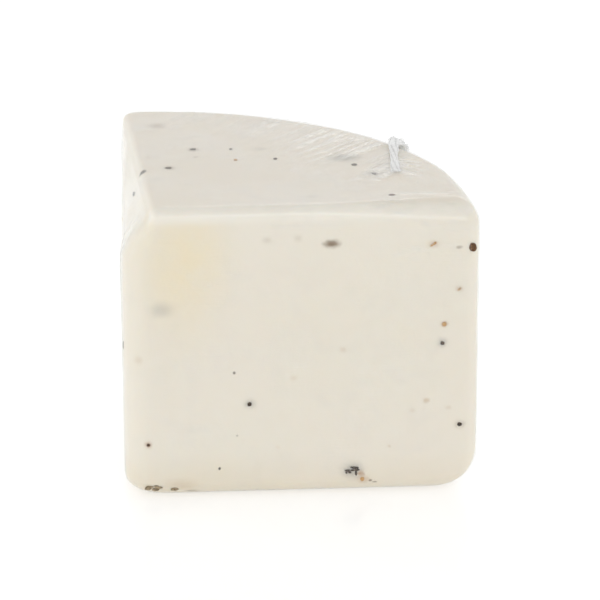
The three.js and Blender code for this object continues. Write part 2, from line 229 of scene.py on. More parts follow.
def outline(z, grow, is_film, steps):
    """The wedge's outline at height z, anticlockwise from its point."""
    corner_steps, front_steps, rind_steps, side_steps = steps
    front = edge_inset(z, FRONT_TOP, CUT_BOTTOM, grow)
    side = edge_inset(z, SIDE_TOP, CUT_BOTTOM, grow)
    radius = RADIUS - edge_inset(z, RIM_TOP, RIM_BOTTOM, grow)
    thin_end, direction, inward = side_cut(z, is_film)
    along_front = np.array((1.0, 0.0))

    side_start = thin_end + inward * side
    point = side_start + direction * (front - side_start[1]) / direction[1]
    front_corner = np.array((math.sqrt(radius ** 2 - front ** 2), front))
    start_along = side_start @ direction
    reach = math.sqrt(start_along ** 2 - side_start @ side_start + radius ** 2) - start_along
    back_corner = side_start + direction * reach

    point_radius = grow + POINT_TOP + (POINT_LOW - POINT_TOP) * slump_share(z, is_film)
    corner_radius = RIND_CORNER + grow
    front_angle = math.atan2(front_corner[1], front_corner[0])
    back_angle = math.atan2(back_corner[1], back_corner[0])
    front_tangent = np.array((-math.sin(front_angle), math.cos(front_angle)))
    back_tangent = np.array((math.sin(back_angle), -math.cos(back_angle)))
    at_front = front_angle + corner_radius / radius
    at_back = back_angle - corner_radius / radius
    angles = np.linspace(at_front, at_back, rind_steps + 2)[1:-1]

    point_arc = corner_arc(point, direction, along_front, point_radius, corner_steps)
    front_arc = corner_arc(front_corner, -along_front, front_tangent, corner_radius, corner_steps)
    back_arc = corner_arc(back_corner, back_tangent, -direction, corner_radius, corner_steps)
    along_side = between(back_arc[-1], point_arc[0], side_steps)
    if is_film:
        along = np.linspace(0, 1, side_steps + 2)[1:-1]
        down = min(1, depth_share(z) / FILM_MEETS_SWELL)
        span = np.minimum(along * (1 - down), down * (1 - along))
        taut = SLUMP * swell(FILM_MEETS_SWELL) * span
        along_side = along_side - inward * taut[:, None]
    return np.concatenate((
        point_arc,
        between(point_arc[-1], front_arc[0], front_steps),
        front_arc,
        radius * np.stack((np.cos(angles), np.sin(angles)), 1),
        back_arc,
        along_side,
    ))


def smooth(share):
    share = np.clip(share, 0, 1)
    return share * share * (3 - 2 * share)


def top_inset(z, radius, grow):
    swing = radius + grow
    into = np.clip(z - (HEIGHT - radius), 0, swing)
    return swing - np.sqrt(swing ** 2 - into ** 2)


def soften_shoulder(ring, z, grow):
    """Near the front end of the rind both top edges open out to softer ones."""
    from_axis = np.hypot(*ring.T)
    angle = np.maximum(0, np.arctan2(ring[:, 1], ring[:, 0]))
    front_radius = FRONT_TOP + (SHOULDER_FRONT - FRONT_TOP) * smooth(
        (ring[:, 0] - SHOULDER_START) / (RADIUS - SHOULDER_START))
    rim_radius = RIM_TOP + (SHOULDER_RIM - RIM_TOP) * (1 - smooth(angle / SHOULDER_TURN))
    near_front = (1 - smooth(ring[:, 1] / SHOULDER_WIDTH)) * (ring[:, 0] > SHOULDER_START)
    near_rind = smooth((from_axis - (RADIUS - 2 * SHOULDER_WIDTH)) / SHOULDER_WIDTH)
    inwards = (top_inset(z, rim_radius, grow) - top_inset(z, RIM_TOP, grow)) * near_rind
    inwards *= ring[:, 0] > SHOULDER_START
    backwards = (top_inset(z, front_radius, grow) - top_inset(z, FRONT_TOP, grow)) * near_front
    softer = ring * (1 - inwards / from_axis)[:, None]
    softer[:, 1] += backwards
    return softer


def heights(grow, rim_steps, belly_steps, swell_steps):
    turn = np.linspace(0, math.pi / 2, rim_steps)
    foot = -grow + (RIM_BOTTOM + grow) * (1 - np.cos(turn))
    shoulder = HEIGHT - SLUMP_DEPTH
    belly = np.linspace(RIM_BOTTOM, shoulder, belly_steps + 1)[1:]
    above = np.linspace(shoulder, HEIGHT - RIM_TOP, swell_steps + 1)[1:-1]
    rim = HEIGHT + grow - (RIM_TOP + grow) * (1 - np.cos(turn[::-1]))
    return np.concatenate((foot, belly, above, rim))


MIDDLE = np.array((36.0, 31.0))


def wedge_grid(grow, is_film, steps, rim_steps, belly_steps, swell_steps, base_rings, top_rings):
    """Rows of spots from the middle of the base, up the sides, to the middle of the top."""
    levels = heights(grow, rim_steps, belly_steps, swell_steps)
    rings = [np.column_stack((ring, np.full(len(ring), z)))
             for z in levels for ring in [soften_shoulder(outline(z, grow, is_film, steps), z, grow)]]
    middle_low = np.array((*MIDDLE, levels[0]))
    middle_top = np.array((*MIDDLE, levels[-1]))
    base = [middle_low + (rings[0] - middle_low) * share
            for share in np.linspace(0.02, 1, base_rings + 1)[:-1]]
    top = [middle_top + (rings[-1] - middle_top) * share
           for share in np.linspace(1, 0.02, top_rings + 1)[1:]]
    return np.array(base + rings + top)


def outward(grid):
    """The unit normals of a grid of spots whose columns close round the wedge."""
    across = np.roll(grid, -1, 1) - np.roll(grid, 1, 1)
    upward = np.gradient(grid, axis=0)
    normal = np.cross(across, upward)
    return normal / np.maximum(np.linalg.norm(normal, axis=2, keepdims=True), 1e-9)


def grid_faces(rows, columns, first=0, flipped=False):
    """Quads between the rows, and a fan on the first and the last row."""
    row, column = np.meshgrid(np.arange(rows - 1), np.arange(columns), indexing="ij")
    a = first + row * columns + column
    b = first + row * columns + (column + 1) % columns
    quads = np.stack((a, b, b + columns, a + columns), 2).reshape(-1, 4)
    low = first + rows * columns
    ring = np.arange(columns)
    ring_next = (ring + 1) % columns
    last = first + (rows - 1) * columns
    fans = [(low, first + n, first + i) for i, n in zip(ring, ring_next)]
    fans += [(low + 1, last + i, last + n) for i, n in zip(ring, ring_next)]
    faces = quads.tolist() + fans
    return [face[::-1] for face in faces] if flipped else faces


def grid_points(grid):
    middles = [grid[0].mean(0), grid[-1].mean(0)]
    return np.concatenate((grid.reshape(-1, 3), middles))


def solid_of(name, points, faces, material, attributes=None):
    """A smooth shaded piece of these spots, which are given in the wheel's own frame."""
    mesh = bpy.data.meshes.new(name)
    mesh.from_pydata(to_frame(points).tolist(), [], faces)
    mesh.shade_smooth()
    for attribute, values in (attributes or {}).items():
        layer = mesh.attributes.new(attribute, "FLOAT", "POINT")
        layer.data.foreach_set("value", np.asarray(values, np.float32))
    mesh.materials.append(material)
    piece = bpy.data.objects.new(name, mesh)
    bpy.context.scene.collection.objects.link(piece)
    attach(piece, "root")
    return piece


def waves(points, length, count, seed):
    """Smooth rolling unevenness between about -1 and 1, with waves about as long as `length`."""
    chance = np.random.default_rng(seed)
    total = np.zeros(len(points))
    for _ in range(count):
        direction = chance.normal(size=3)
        direction *= 2 * math.pi / (length * chance.uniform(0.7, 1.4)) / np.linalg.norm(direction)
        total += np.sin(points @ direction + chance.uniform(0, 2 * math.pi))
    return total / math.sqrt(2 * count)


# ---------------------------------------------------------------- materials

# Pepper lying under the surface, and crumbs of it: [face, first place, height or depth into the
# wedge, half width, half height, colour, strength, softness of the edge].
BROWN = tint(0.20, 0.13, 0.075)
GREY = tint(0.33, 0.32, 0.29)
BLACK = tint(0.05, 0.04, 0.035)
TAN = tint(0.52, 0.36, 0.20)
RUST = tint(0.42, 0.20, 0.07)
SUNK_PEPPER = [
    ["front", 43.6, 65.9, 2.4, 1.3, BROWN, 0.70, 0.85],
    ["front", 43.3, 65.9, 1.5, 0.8, BROWN, 0.60, 0.85],
    ["front", 27.8, 67.2, 1.3, 1.0, BROWN, 0.16, 0.9],
    ["front", 35.3, 67.5, 1.2, 1.0, BROWN, 0.14, 0.9],
    ["front", 2.0, 49.8, 3.3, 2.2, GREY, 0.30, 0.9],
    ["front", 19.7, 32.8, 0.45, 0.45, BLACK, 0.70, 0.6],
    ["front", 23.5, 24.4, 1.7, 1.5, GREY, 0.38, 0.9],
    ["front", 34.3, 31.0, 1.0, 0.9, TAN, 0.20, 0.9],
    ["front", 46.4, 38.2, 1.0, 0.9, TAN, 0.24, 0.9],
    ["front", -3.8, 36.4, 1.4, 1.2, TAN, 0.24, 0.9],
    ["front", -1.6, 14.2, 1.1, 1.1, RUST, 0.50, 0.8],
    ["front", 15.9, 7.4, 0.35, 0.45, BLACK, 0.90, 0.4],
    ["front", 20.3, 16.1, 0.35, 0.35, GREY, 0.50, 0.6],
    ["front", 48.9, 5.9, 3.2, 2.7, GREY, 0.50, 0.9],
    ["front", 50.9, 5.2, 1.0, 0.9, RUST, 0.55, 0.8],
    ["front", 51.6, 3.6, 1.9, 1.6, RUST, 0.30, 0.9],
    ["front", 53.3, 3.1, 0.5, 0.4, BROWN, 0.75, 0.6],
    ["front", 54.4, 2.6, 0.7, 0.25, BROWN, 0.60, 0.6],
    ["front", 67.0, 24.3, 1.0, 0.8, TAN, 0.40, 0.8],
    ["front", 63.6, 21.7, 0.9, 0.7, TAN, 0.20, 0.9],
    ["front", 72.5, 22.2, 0.9, 0.7, TAN, 0.20, 0.9],
    ["front", 70.8, 39.4, 1.5, 1.4, GREY, 0.45, 0.9],
    ["front", 75.4, 17.7, 1.6, 1.3, BROWN, 0.30, 0.9],
    ["front", 71.2, 44.3, 1.2, 1.1, TAN, 0.45, 0.8],
    ["front", 68.4, 65.2, 1.7, 1.1, TAN, 0.35, 0.9],
    ["front", 74.8, 53.4, 1.2, 1.0, TAN, 0.35, 0.9],
    ["front", 57.9, 12.3, 0.6, 0.5, TAN, 0.25, 0.9],
    ["front", 30.4, 12.8, 0.5, 0.5, TAN, 0.20, 0.9],
    ["front", 9.2, 1.0, 2.4, 0.5, BROWN, 0.60, 0.7],
    ["front", 6.5, 3.2, 5.0, 1.9, TAN, 0.25, 0.95],
    ["front", 74.6, 64.3, 1.0, 0.5, BROWN, 0.45, 0.8],
    ["top", 3.3, 65.4, 2.6, 2.4, BROWN, 0.36, 0.9],
    ["top", 12.3, 40.2, 0.9, 0.9, BROWN, 0.22, 0.9],
    ["top", 28.7, 44.9, 2.2, 1.6, GREY, 0.22, 0.9],
    ["top", 0.4, 40.3, 0.9, 0.9, BROWN, 0.22, 0.9],
    ["top", 49.6, 37.2, 4.6, 3.4, GREY, 0.62, 0.95],
    ["top", 39.1, 8.2, 1.0, 1.3, BROWN, 0.20, 0.9],
    ["top", 11.9, 45.8, 1.7, 1.9, BROWN, 0.40, 0.9],
    ["top", 5.3, 31.9, 1.8, 2.0, BROWN, 0.40, 0.9],
    ["top", -1.3, 29.8, 1.1, 1.3, BLACK, 0.80, 0.6],
    ["top", 56.0, 24.3, 2.8, 2.2, GREY, 0.35, 0.9],
    ["side", 55.2, 28.0, 1.6, 1.3, BROWN, 0.25, 0.9],
    ["side", 17.0, 61.0, 1.4, 1.2, TAN, 0.30, 0.9],
    ["side", 38.0, 40.5, 2.6, 2.0, GREY, 0.25, 0.95],
    ["side", 66.0, 61.5, 0.8, 0.7, BROWN, 0.45, 0.8],
    ["side", 44.0, 18.0, 0.5, 0.5, BLACK, 0.75, 0.5],
    ["rind", 0.20, 22.0, 1.4, 1.1, TAN, 0.30, 0.9],
    ["rind", 0.47, 50.0, 2.2, 1.8, GREY, 0.25, 0.95],
    ["rind", 0.72, 14.0, 0.6, 0.5, BLACK, 0.70, 0.5],
    ["rind", 0.86, 37.0, 1.3, 1.0, BROWN, 0.30, 0.9],
]


def sunk_place(face, first, second):
    """Where a sunk piece lies on the surface, with directions along and out of that face."""
    if face == "front":
        return np.array((first, 0.0, second)), np.array((1.0, 0, 0)), np.array((0, -1.0, 0))
    if face == "top":
        return np.array((first, second, HEIGHT)), np.array((1.0, 0, 0)), np.array((0, 0, 1.0))
    if face == "side":
        thin_end, direction, inward = side_cut(second)
        spot = thin_end + direction * first
        return np.array((*spot, second)), np.array((*direction, 0)), np.array((*-inward, 0))
    angle = WEDGE * first
    out = np.array((math.cos(angle), math.sin(angle), 0))
    return np.array((*(RADIUS * out[:2]), second)), np.array((-out[1], out[0], 0)), out


def cheese_paste():
    look = Look("ivory_cheese")
    place = look.place()
    y = look.coordinate(place, "Y")
    z = look.coordinate(place, "Z")

    cloud = look.noise(place, 0.035, 3.0, 0.55)
    curd = look.noise(place, 0.16, 4.0, 0.6)
    grain = look.noise(place, 1.1, 4.0, 0.65)
    colour = look.blend(look.ramp(cloud, 0.3, 0.7), tint(0.818, 0.762, 0.658), tint(0.832, 0.780, 0.688))
    colour = look.blend(look.ramp(curd, 0.35, 0.75, 0.0, 0.4), colour, tint(0.840, 0.794, 0.708))
    # butter-coloured fat gathers where the wedge has been warmest, below the front top edge
    fat = look.vector("MULTIPLY", look.vector("SUBTRACT", place, (8.0, 0.0, 61.0)), (0.060, 0.06, 0.036))
    fat_mask = look.ramp(look.vector("LENGTH", fat, output="Value"), 1.0, 0.0, 0.0, 0.85)
    fat_mask = fat_mask * look.ramp(curd, 0.25, 0.6, 0.6, 1.0)
    colour = look.blend(fat_mask, colour, tint(0.850, 0.742, 0.535))
    # the foot is painted darker and yellower towards the base, and the very edge of the rind is blended
    # towards its own tone
    foot = look.ramp(z, 13.0, 1.0)
    colour = look.blend(foot * 0.55, colour, tint(0.765, 0.672, 0.515))
    from_axis = look.vector("LENGTH", look.vector("MULTIPLY", place, (1, 1, 0)), output="Value")
    rind = look.ramp(from_axis, RADIUS - 4.0, RADIUS - 0.3)
    colour = look.blend(rind * look.ramp(curd, 0.3, 0.7, 0.15, 0.5), colour, tint(0.825, 0.77, 0.66))
    # the top face is painted darker: painted shade, because the top gets less light than the cut faces
    top = look.ramp(z, HEIGHT - 0.6, HEIGHT + 0.2)
    colour = look.blend(top * 0.75, colour, tint(0.805, 0.730, 0.632))
    # the rounded front top edge is painted paler than the faces either side of it: a painted highlight
    # where light from above and in front falls on the rounding and the film over it shines
    painted_edge_highlight = look.ramp(z, HEIGHT - 4.5, HEIGHT - 1.6) * look.ramp(y, 4.5, 1.6)
    colour = look.blend(painted_edge_highlight * look.ramp(curd, 0.2, 0.7, 0.75, 1.0), colour, tint(0.880, 0.838, 0.760))
    rosy = look.ramp(look.noise(place, 0.022, 2.0, 0.5), 0.42, 0.62)
    colour = look.blend(rosy * 0.35, colour, tint(0.835, 0.765, 0.67))
    colour = look.blend(look.ramp(grain, 0.45, 0.8, 0.0, 0.16), colour, tint(0.88, 0.84, 0.76))

    ragged = look.noise(place, 1.3, 3.0, 0.6)
    for face, first, second, wide, high, shade, strength, soft in SUNK_PEPPER:
        spot, along, out = sunk_place(face, first, second)
        upward = np.cross(out, along)
        away = look.vector("SUBTRACT", place, tuple(spot))
        flat = look.vector("DOT_PRODUCT", away, tuple(along / wide), output="Value")
        rise = look.vector("DOT_PRODUCT", away, tuple(upward / high), output="Value")
        deep = look.vector("DOT_PRODUCT", away, tuple(out / 2.5), output="Value")
        distance = (flat * flat + rise * rise + deep * deep) ** 0.5
        ragged_edge = distance + (ragged - 0.5) * 0.9
        mask = look.ramp(ragged_edge, 1.0 + soft * 0.35, 1.0 - soft)
        colour = look.blend(mask * strength, colour, shade)

    drag = look.noise(place, 0.9, 2.0, 0.5, (0.05, 0.3, 2.4))
    relief = look.noise(place, 0.55, 5.0, 0.6) + drag * 0.5
    normal = look.bump(relief, 0.00006)
    rough = look.ramp(curd, 0.3, 0.7, 0.42, 0.58)
    shader = look.node("ShaderNodeBsdfPrincipled", None, {
        "Base Color": colour,
        "Roughness": rough,
        "Normal": normal,
        "IOR": 1.42,
        "Specular IOR Level": 0.35,
        "Subsurface Weight": 0.18,
        "Subsurface Radius": (1.0, 0.72, 0.45),
        "Subsurface Scale": 0.0018,
    })
    return look.surface(shader)


def peppercorn(name, dark, light, crack, rim):
    look = Look(name)
    place = look.place()
    patch = look.noise(place, 0.9, 4.0, 0.65)
    wrinkle = look.node("ShaderNodeTexVoronoi", {"feature": "DISTANCE_TO_EDGE"},
                        {"Vector": place, "Scale": 1.5, "Randomness": 1.0})
    colour = look.blend(look.ramp(patch, 0.35, 0.65), dark, light)
    cracks = look.ramp(wrinkle, 0.09, 0.0)
    colour = look.blend(cracks * 0.65, colour, crack)
    colour = look.blend(look.ramp(look.attribute("middle"), 0.45, 0.1), colour, rim)
    dust = look.noise(place, 4.5, 2.0, 0.5)
    colour = look.blend(look.ramp(dust, 0.6, 0.8, 0.0, 0.3), colour, tint(0.42, 0.36, 0.28))
    normal = look.bump(look.noise(place, 2.8, 4.0, 0.65) - cracks * 0.6, 0.00012)
    shader = look.node("ShaderNodeBsdfPrincipled", None, {
        "Base Color": colour,
        "Roughness": look.ramp(patch, 0.3, 0.7, 0.6, 0.85),
        "Normal": normal,
        "Specular IOR Level": 0.3,
    })
    return look.surface(shader)


def cling_film():
    look = Look("cling_film")
    place = look.place()
    crease = look.attribute("crease")
    hollow = look.attribute("hollow")
    cling = look.noise(place, 0.07, 3.0, 0.55)
    stretch = look.noise(place, 0.5, 3.0, 0.6, (1.0, 1.0, 0.18))
    pull = look.noise(place, 1.6, 3.0, 0.6, (0.9, -0.8, 0.15))
    normal = look.bump(pull * 0.6 + stretch * 0.4, 0.00007)
    facing = look.node("ShaderNodeLayerWeight", None, {"Blend": 0.5, "Normal": normal}, "Facing")
    shine = 0.022 + 0.55 * facing ** 4.0
    gloss = look.node("ShaderNodeBsdfGlossy", None,
                      {"Color": tint(0.97, 0.975, 0.97), "Roughness": 0.19, "Normal": normal})
    clear = look.node("ShaderNodeBsdfTransparent", None, {"Color": tint(0.99, 0.992, 0.99)})
    shine = (shine * look.ramp(cling, 0.35, 0.65, 0.55, 1.0) + crease * 0.10).clamped()
    sheen = look.node("ShaderNodeMixShader", None, {0: shine, 1: clear, 2: gloss})
    # the white diffuse mixed in is partly the film's own faint haze (the random cling term) and partly
    # painted highlight: on crease crests and where the film spans a hollow it stands in for the film's
    # reflection of the white surroundings
    white_haze_and_sheen = look.node("ShaderNodeBsdfDiffuse", None, {"Color": tint(0.93, 0.94, 0.935), "Normal": normal})
    haze_and_painted_sheen = crease * look.ramp(stretch, 0.3, 0.7, 0.04, 0.16) + look.ramp(hollow, 0.1, 1.3) * 0.24
    haze_and_painted_sheen = haze_and_painted_sheen + look.ramp(cling, 0.45, 0.75, 0.0, 0.03)
    shader = look.node("ShaderNodeMixShader", None, {0: haze_and_painted_sheen.clamped(), 1: sheen, 2: white_haze_and_sheen})
    return look.surface(shader)


def gathered_film():
    look = Look("gathered_film")
    place = look.place()
    fold = look.attribute("fold")
    streak = look.noise(place, 1.4, 4.0, 0.65)
    normal = look.bump(streak, 0.0001)
    # whiter on the outward pleats and greyer in the grooves between them: painted shade in the grooves
    pleat_shaded_white = look.blend(look.ramp(fold, 0.0, 1.0), tint(0.92, 0.925, 0.92), tint(0.97, 0.97, 0.965))
    body = look.node("ShaderNodeBsdfPrincipled", None, {
        "Base Color": pleat_shaded_white,
        "Roughness": look.ramp(streak, 0.3, 0.7, 0.16, 0.34),
        "Normal": normal,
        "IOR": 1.48,
        "Specular IOR Level": 0.6,
    })
    clear = look.node("ShaderNodeBsdfTransparent", None, {"Color": tint(0.98, 0.985, 0.985)})
    cover = look.ramp(fold + (streak - 0.5) * 0.5, 0.0, 1.0, 0.42, 0.72)
    return look.surface(look.node("ShaderNodeMixShader", None, {0: cover, 1: clear, 2: body}))


def white_floor():
    look = Look("studio_floor")
    place = look.place()
    rough = look.ramp(look.noise(place, 0.02, 2.0, 0.5), 0.3, 0.7, 0.16, 0.22)
    shader = look.node("ShaderNodeBsdfPrincipled", None, {
        "Base Color": tint(0.62, 0.62, 0.62),
        "Roughness": rough,
        "Emission Color": tint(1.0, 1.0, 1.0),
        "Emission Strength": 0.44,
        "Specular IOR Level": 0.8,
    })
    return look.surface(shader)


# ---------------------------------------------------------------- the cheese

CHEESE_STEPS = (10, 70, 130, 64)
CHEESE_ROWS = (12, 34, 12, 10, 34)
cheese_grid = wedge_grid(CHEESE_FILLS, False, CHEESE_STEPS, *CHEESE_ROWS)
cheese_out = outward(cheese_grid)
flat_points = cheese_grid.reshape(-1, 3)
roll = 0.14 * waves(flat_points, 34, 9, 3) + 0.05 * waves(flat_points, 9, 12, 4)
# the surface only sinks below its true size, and the base stays flat
roll = np.minimum(roll - 0.12, 0.02) * np.clip(flat_points[:, 2] / 6, 0, 1)
cheese_spots = cheese_grid + cheese_out * roll.reshape(cheese_grid.shape[:2])[:, :, None]
cheese = solid_of(
    "cheese_wedge_paste",
    grid_points(cheese_spots),
    grid_faces(*cheese_grid.shape[:2]),
    cheese_paste(),
)
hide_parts("cheese_wedge")

# ---------------------------------------------------------------- the pepper

HEARTS = {"front_02", "front_04", "front_05", "front_06", "top_04", "side_03", "rind_03"}
pepper_skin = peppercorn("peppercorn_skin", tint(0.014, 0.010, 0.008), tint(0.085, 0.052, 0.030),
                         tint(0.24, 0.16, 0.09), tint(0.045, 0.030, 0.019))
pepper_heart = peppercorn("peppercorn_heart", tint(0.55, 0.29, 0.10), tint(0.74, 0.50, 0.26),
                          tint(0.36, 0.16, 0.055), tint(0.52, 0.29, 0.12))
pepper_sliver = peppercorn("peppercorn_sliver", tint(0.30, 0.23, 0.14), tint(0.52, 0.40, 0.26),
                           tint(0.15, 0.12, 0.08), tint(0.22, 0.18, 0.12))
# paler, greyer copy of the black skin for the pieces on the top: the film's haze together with painted
# sheen of the film's reflection over them
pepper_veiled_sheen = peppercorn("peppercorn_veiled", tint(0.060, 0.047, 0.038), tint(0.170, 0.135, 0.110),
                           tint(0.30, 0.24, 0.18), tint(0.20, 0.165, 0.135))
pepper_husk = peppercorn("peppercorn_husk", tint(0.050, 0.024, 0.012), tint(0.120, 0.060, 0.028),
                         tint(0.42, 0.22, 0.09), tint(0.16, 0.080, 0.035))


def face_directions(face, spot):
    """Directions along, up and out of the face that a piece of pepper is in."""
    if face == "front":
        out, along = np.array((0, -1.0, 0)), np.array((1.0, 0, 0))
    elif face == "top":
        out, along = np.array((0, 0, 1.0)), np.array((1.0, 0, 0))
    elif face == "side":
        _, direction, inward = side_cut(spot[2])
        out, along = np.array((*-inward, 0)), np.array((*-direction, 0))
    else:
        angle = math.atan2(spot[1], spot[0])
        out = np.array((math.cos(angle), math.sin(angle), 0))
        along = np.array((-out[1], out[0], 0))
    return along, np.cross(out, along), out


def broken_stone(seed, facets=11):
    """A unit stone with flat broken faces, as a ball of spots cut off by planes."""
    ball = bmesh.new()
    bmesh.ops.create_icosphere(ball, subdivisions=4, radius=1)
    directions = np.array([vertex.co for vertex in ball.verts])
    faces = [[vertex.index for vertex in face.verts] for face in ball.faces]
    ball.free()
    chance = np.random.default_rng(seed)
    planes = chance.normal(size=(facets, 3))
    planes /= np.linalg.norm(planes, axis=1)[:, None]
    reach = chance.uniform(0.72, 1.0, facets)
    cut = reach / np.maximum(directions @ planes.T, 1e-3)
    size = np.minimum(cut.min(1), 1.0)
    spots = directions * size[:, None]
    spots *= 1 + 0.09 * waves(spots, 0.6, 8, seed + 50)[:, None]
    return spots, faces


TURNS = {"front_02": -35, "front_04": 34, "front_05": 40, "side_02": 50, "rind_02": -40}
SLIVERS = {"front_11", "front_12"}
STONE_SHOWS = {"front": 0.86, "top": 0.70, "side": 0.8, "rind": 0.8}


# the biggest piece on the front is cracked right through: [aside, up, half width, half height] of
# each bit, as shares of the piece
CRACKED = [
    [0.42, 0.62, 0.52, 0.24],
    [0.72, 0.22, 0.36, 0.34],
    [0.58, -0.42, 0.17, 0.62],
    [-0.62, 0.08, 0.46, 0.24],
    [-0.28, -0.28, 0.24, 0.22],
    [0.10, 0.12, 0.30, 0.20],
    [-0.05, 0.72, 0.20, 0.16],
    [-0.78, -0.35, 0.16, 0.20],
]
SLANTED = [
    [0.52, 0.02, 0.50, 0.42],
    [-0.58, -0.05, 0.42, 0.26],
    [0.0, -0.1, 0.24, 0.16],
]
BROKEN_UP = {"front_01": CRACKED, "front_04": SLANTED, "front_05": SLANTED}
SHOWS_WHOLE = {"front_01", "front_03"}
WHOLE_SHOWS = 1.05


def cracked_through(seed, bits):
    """The bits of one piece, each a small stone of its own, in the piece's unit ball."""
    spots, faces = [], []
    for bit, (aside, up, wide, tall) in enumerate(bits):
        stone, sides = broken_stone(seed * 10 + bit, 9)
        first = sum(len(group) for group in spots)
        spots.append(stone * (wide, tall, 0.7) + (aside, up, 0.0))
        faces += [[first + corner for corner in side] for side in sides]
    return np.concatenate(spots), faces


# pieces whose skin isn't plain black: husks, slivers, and those on the top, whose paler skin is the
# film's haze over them together with painted sheen where the film reflects there
FINISHES = {"front_03": pepper_husk, "front_10": pepper_husk, "front_11": pepper_sliver,
            "front_12": pepper_sliver, "top_08": pepper_husk}
FINISHES.update({f"top_0{number}": pepper_veiled_sheen for number in range(1, 8)})


def shards(seed, count):
    """One stone, or a cluster of broken bits that fills the same unit ball."""
    if count == 1:
        return broken_stone(seed)
    chance = np.random.default_rng(seed)
    spots, faces = [], []
    for bit in range(count):
        stone, sides = broken_stone(seed * 10 + bit, 8)
        angle = 2 * math.pi * (bit + chance.uniform(-0.2, 0.2)) / count
        middle = np.array((math.cos(angle), math.sin(angle), 0.0)) * chance.uniform(0.42, 0.72)
        first = sum(len(group) for group in spots)
        spots.append(stone * (chance.uniform(0.26, 0.46), chance.uniform(0.26, 0.44), 0.7) + middle)
        faces += [[first + corner for corner in side] for side in sides]
    return np.concatenate(spots), faces


def pepper_piece(name, seed):
    low, high = (np.array(corner) * 1000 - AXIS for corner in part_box(name))
    spot, size = (low + high) / 2, high - low
    face = name.split("_")[1]
    along, upward, out = face_directions(face, spot)
    wide = max(abs(size @ np.abs(along)), 0.8) / 2
    tall = max(abs(size @ np.abs(upward)), 0.8) / 2
    deep = max(abs(size @ np.abs(out)), 0.6) / 2
    number = name.replace("pepper_", "")
    if number in BROKEN_UP:
        stone, faces = cracked_through(seed, BROKEN_UP[number])
    else:
        stone, faces = shards(seed, 5 if number in SLIVERS else 1)
    lean = math.radians(TURNS.get(number, 0))
    along, upward = (along * math.cos(lean) + upward * math.sin(lean),
                     upward * math.cos(lean) - along * math.sin(lean))
    shows = WHOLE_SHOWS if number in SHOWS_WHOLE else STONE_SHOWS[face]
    wide, tall = wide * shows, tall * shows
    # the knife has sliced the stone level with the face, so it is widest there and nearly flat
    level = np.where(stone[:, 2] > 0, 0.08 * stone[:, 2], 2 * deep * stone[:, 2])
    flush = spot + out * (deep + CHEESE_FILLS)
    points = flush + stone[:, :1] * wide * along + stone[:, 1:2] * tall * upward + level[:, None] * out
    reach = np.hypot(stone[:, 0], stone[:, 1])
    middle = 1 - reach / reach.max()
    heart = number in HEARTS
    finish = pepper_heart if heart else FINISHES.get(number, pepper_skin)
    piece = solid_of(f"peppercorn_{number}", points, faces, finish, {"middle": middle})
    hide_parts(name)
    return piece


for count, node in enumerate(sorted(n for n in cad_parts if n.startswith("pepper_"))):
    pepper_piece(node, 100 + count)

# ---------------------------------------------------------------- the film

chance = np.random.default_rng(11)


CREASE_LIMIT = 0.5


def ridges(first, second, creases):
    """Height of all creases at spots (first, second): each is a line with a height and a width."""
    total = np.zeros(len(first))
    for start, end, tall, wide in creases:
        line = np.subtract(end, start)
        length = math.hypot(*line)
        along = ((first - start[0]) * line[0] + (second - start[1]) * line[1]) / length ** 2
        aside = ((first - start[0]) * line[1] - (second - start[1]) * line[0]) / length
        bend = 0.25 * np.sin(along * 5 + tall * 90)
        taper = np.clip(along * 8 + 1, 0, 1) * np.clip((1 - along) * 1.6, 0, 1) ** 1.3
        total += tall * taper * np.exp(-((aside + bend) / wide) ** 2)
    return CREASE_LIMIT * np.tanh(total / CREASE_LIMIT)


def radial(angle, reach=RADIUS):
    return (reach * math.cos(angle), reach * math.sin(angle))


# creases drawn towards the gather, over the rim and onto the top
top_creases = []
RIM_CREASES, TIP_CREASES, SKIRT_CREASES = 64, 16, 9
FAN_CREASES, STRAY_CREASES, SIDE_CREASES = 58, 14, 12
for _ in range(RIM_CREASES):
    rim_angle = chance.uniform(math.radians(37), math.radians(80))
    share = (rim_angle - math.radians(37)) / math.radians(43)
    heading = math.radians(44 + 12 * share + chance.normal() * 2.5)
    length = chance.uniform(14, 46) * (1.05 - 0.45 * share)
    start = np.array(radial(rim_angle, RADIUS + 2))
    end = start - length * np.array((math.cos(heading), math.sin(heading)))
    top_creases.append((start, end, chance.uniform(0.10, 0.30), chance.uniform(0.35, 0.75)))
for _ in range(TIP_CREASES):
    start = np.array((62.2 + chance.normal() * 0.6, chance.uniform(24, 42)))
    heading = math.radians(chance.uniform(38, 56))
    end = start - chance.uniform(10, 26) * np.array((math.cos(heading), math.sin(heading)))
    top_creases.append((start, end, chance.uniform(0.12, 0.26), chance.uniform(0.35, 0.6)))
for turn in (-64, -56, -49, -43, -36, -28, -18, -6, 8):
    heading = math.radians(turn + chance.normal() * 2)
    start = np.array((61.9, 24.0 + 0.14 * (turn + 64)))
    end = start + chance.uniform(7, 14) * np.array((math.cos(heading), math.sin(heading)))
    top_creases.append((start, end, chance.uniform(0.12, 0.24), chance.uniform(0.35, 0.55)))
for _ in range(SKIRT_CREASES):
    start = np.array((chance.uniform(50, 72), chance.uniform(1.5, 9)))
    heading = math.radians(chance.uniform(-10, 12))
    end = start + chance.uniform(6, 16) * np.array((math.cos(heading), math.sin(heading)))
    top_creases.append((start, end, chance.uniform(0.06, 0.14), chance.uniform(0.4, 0.7)))

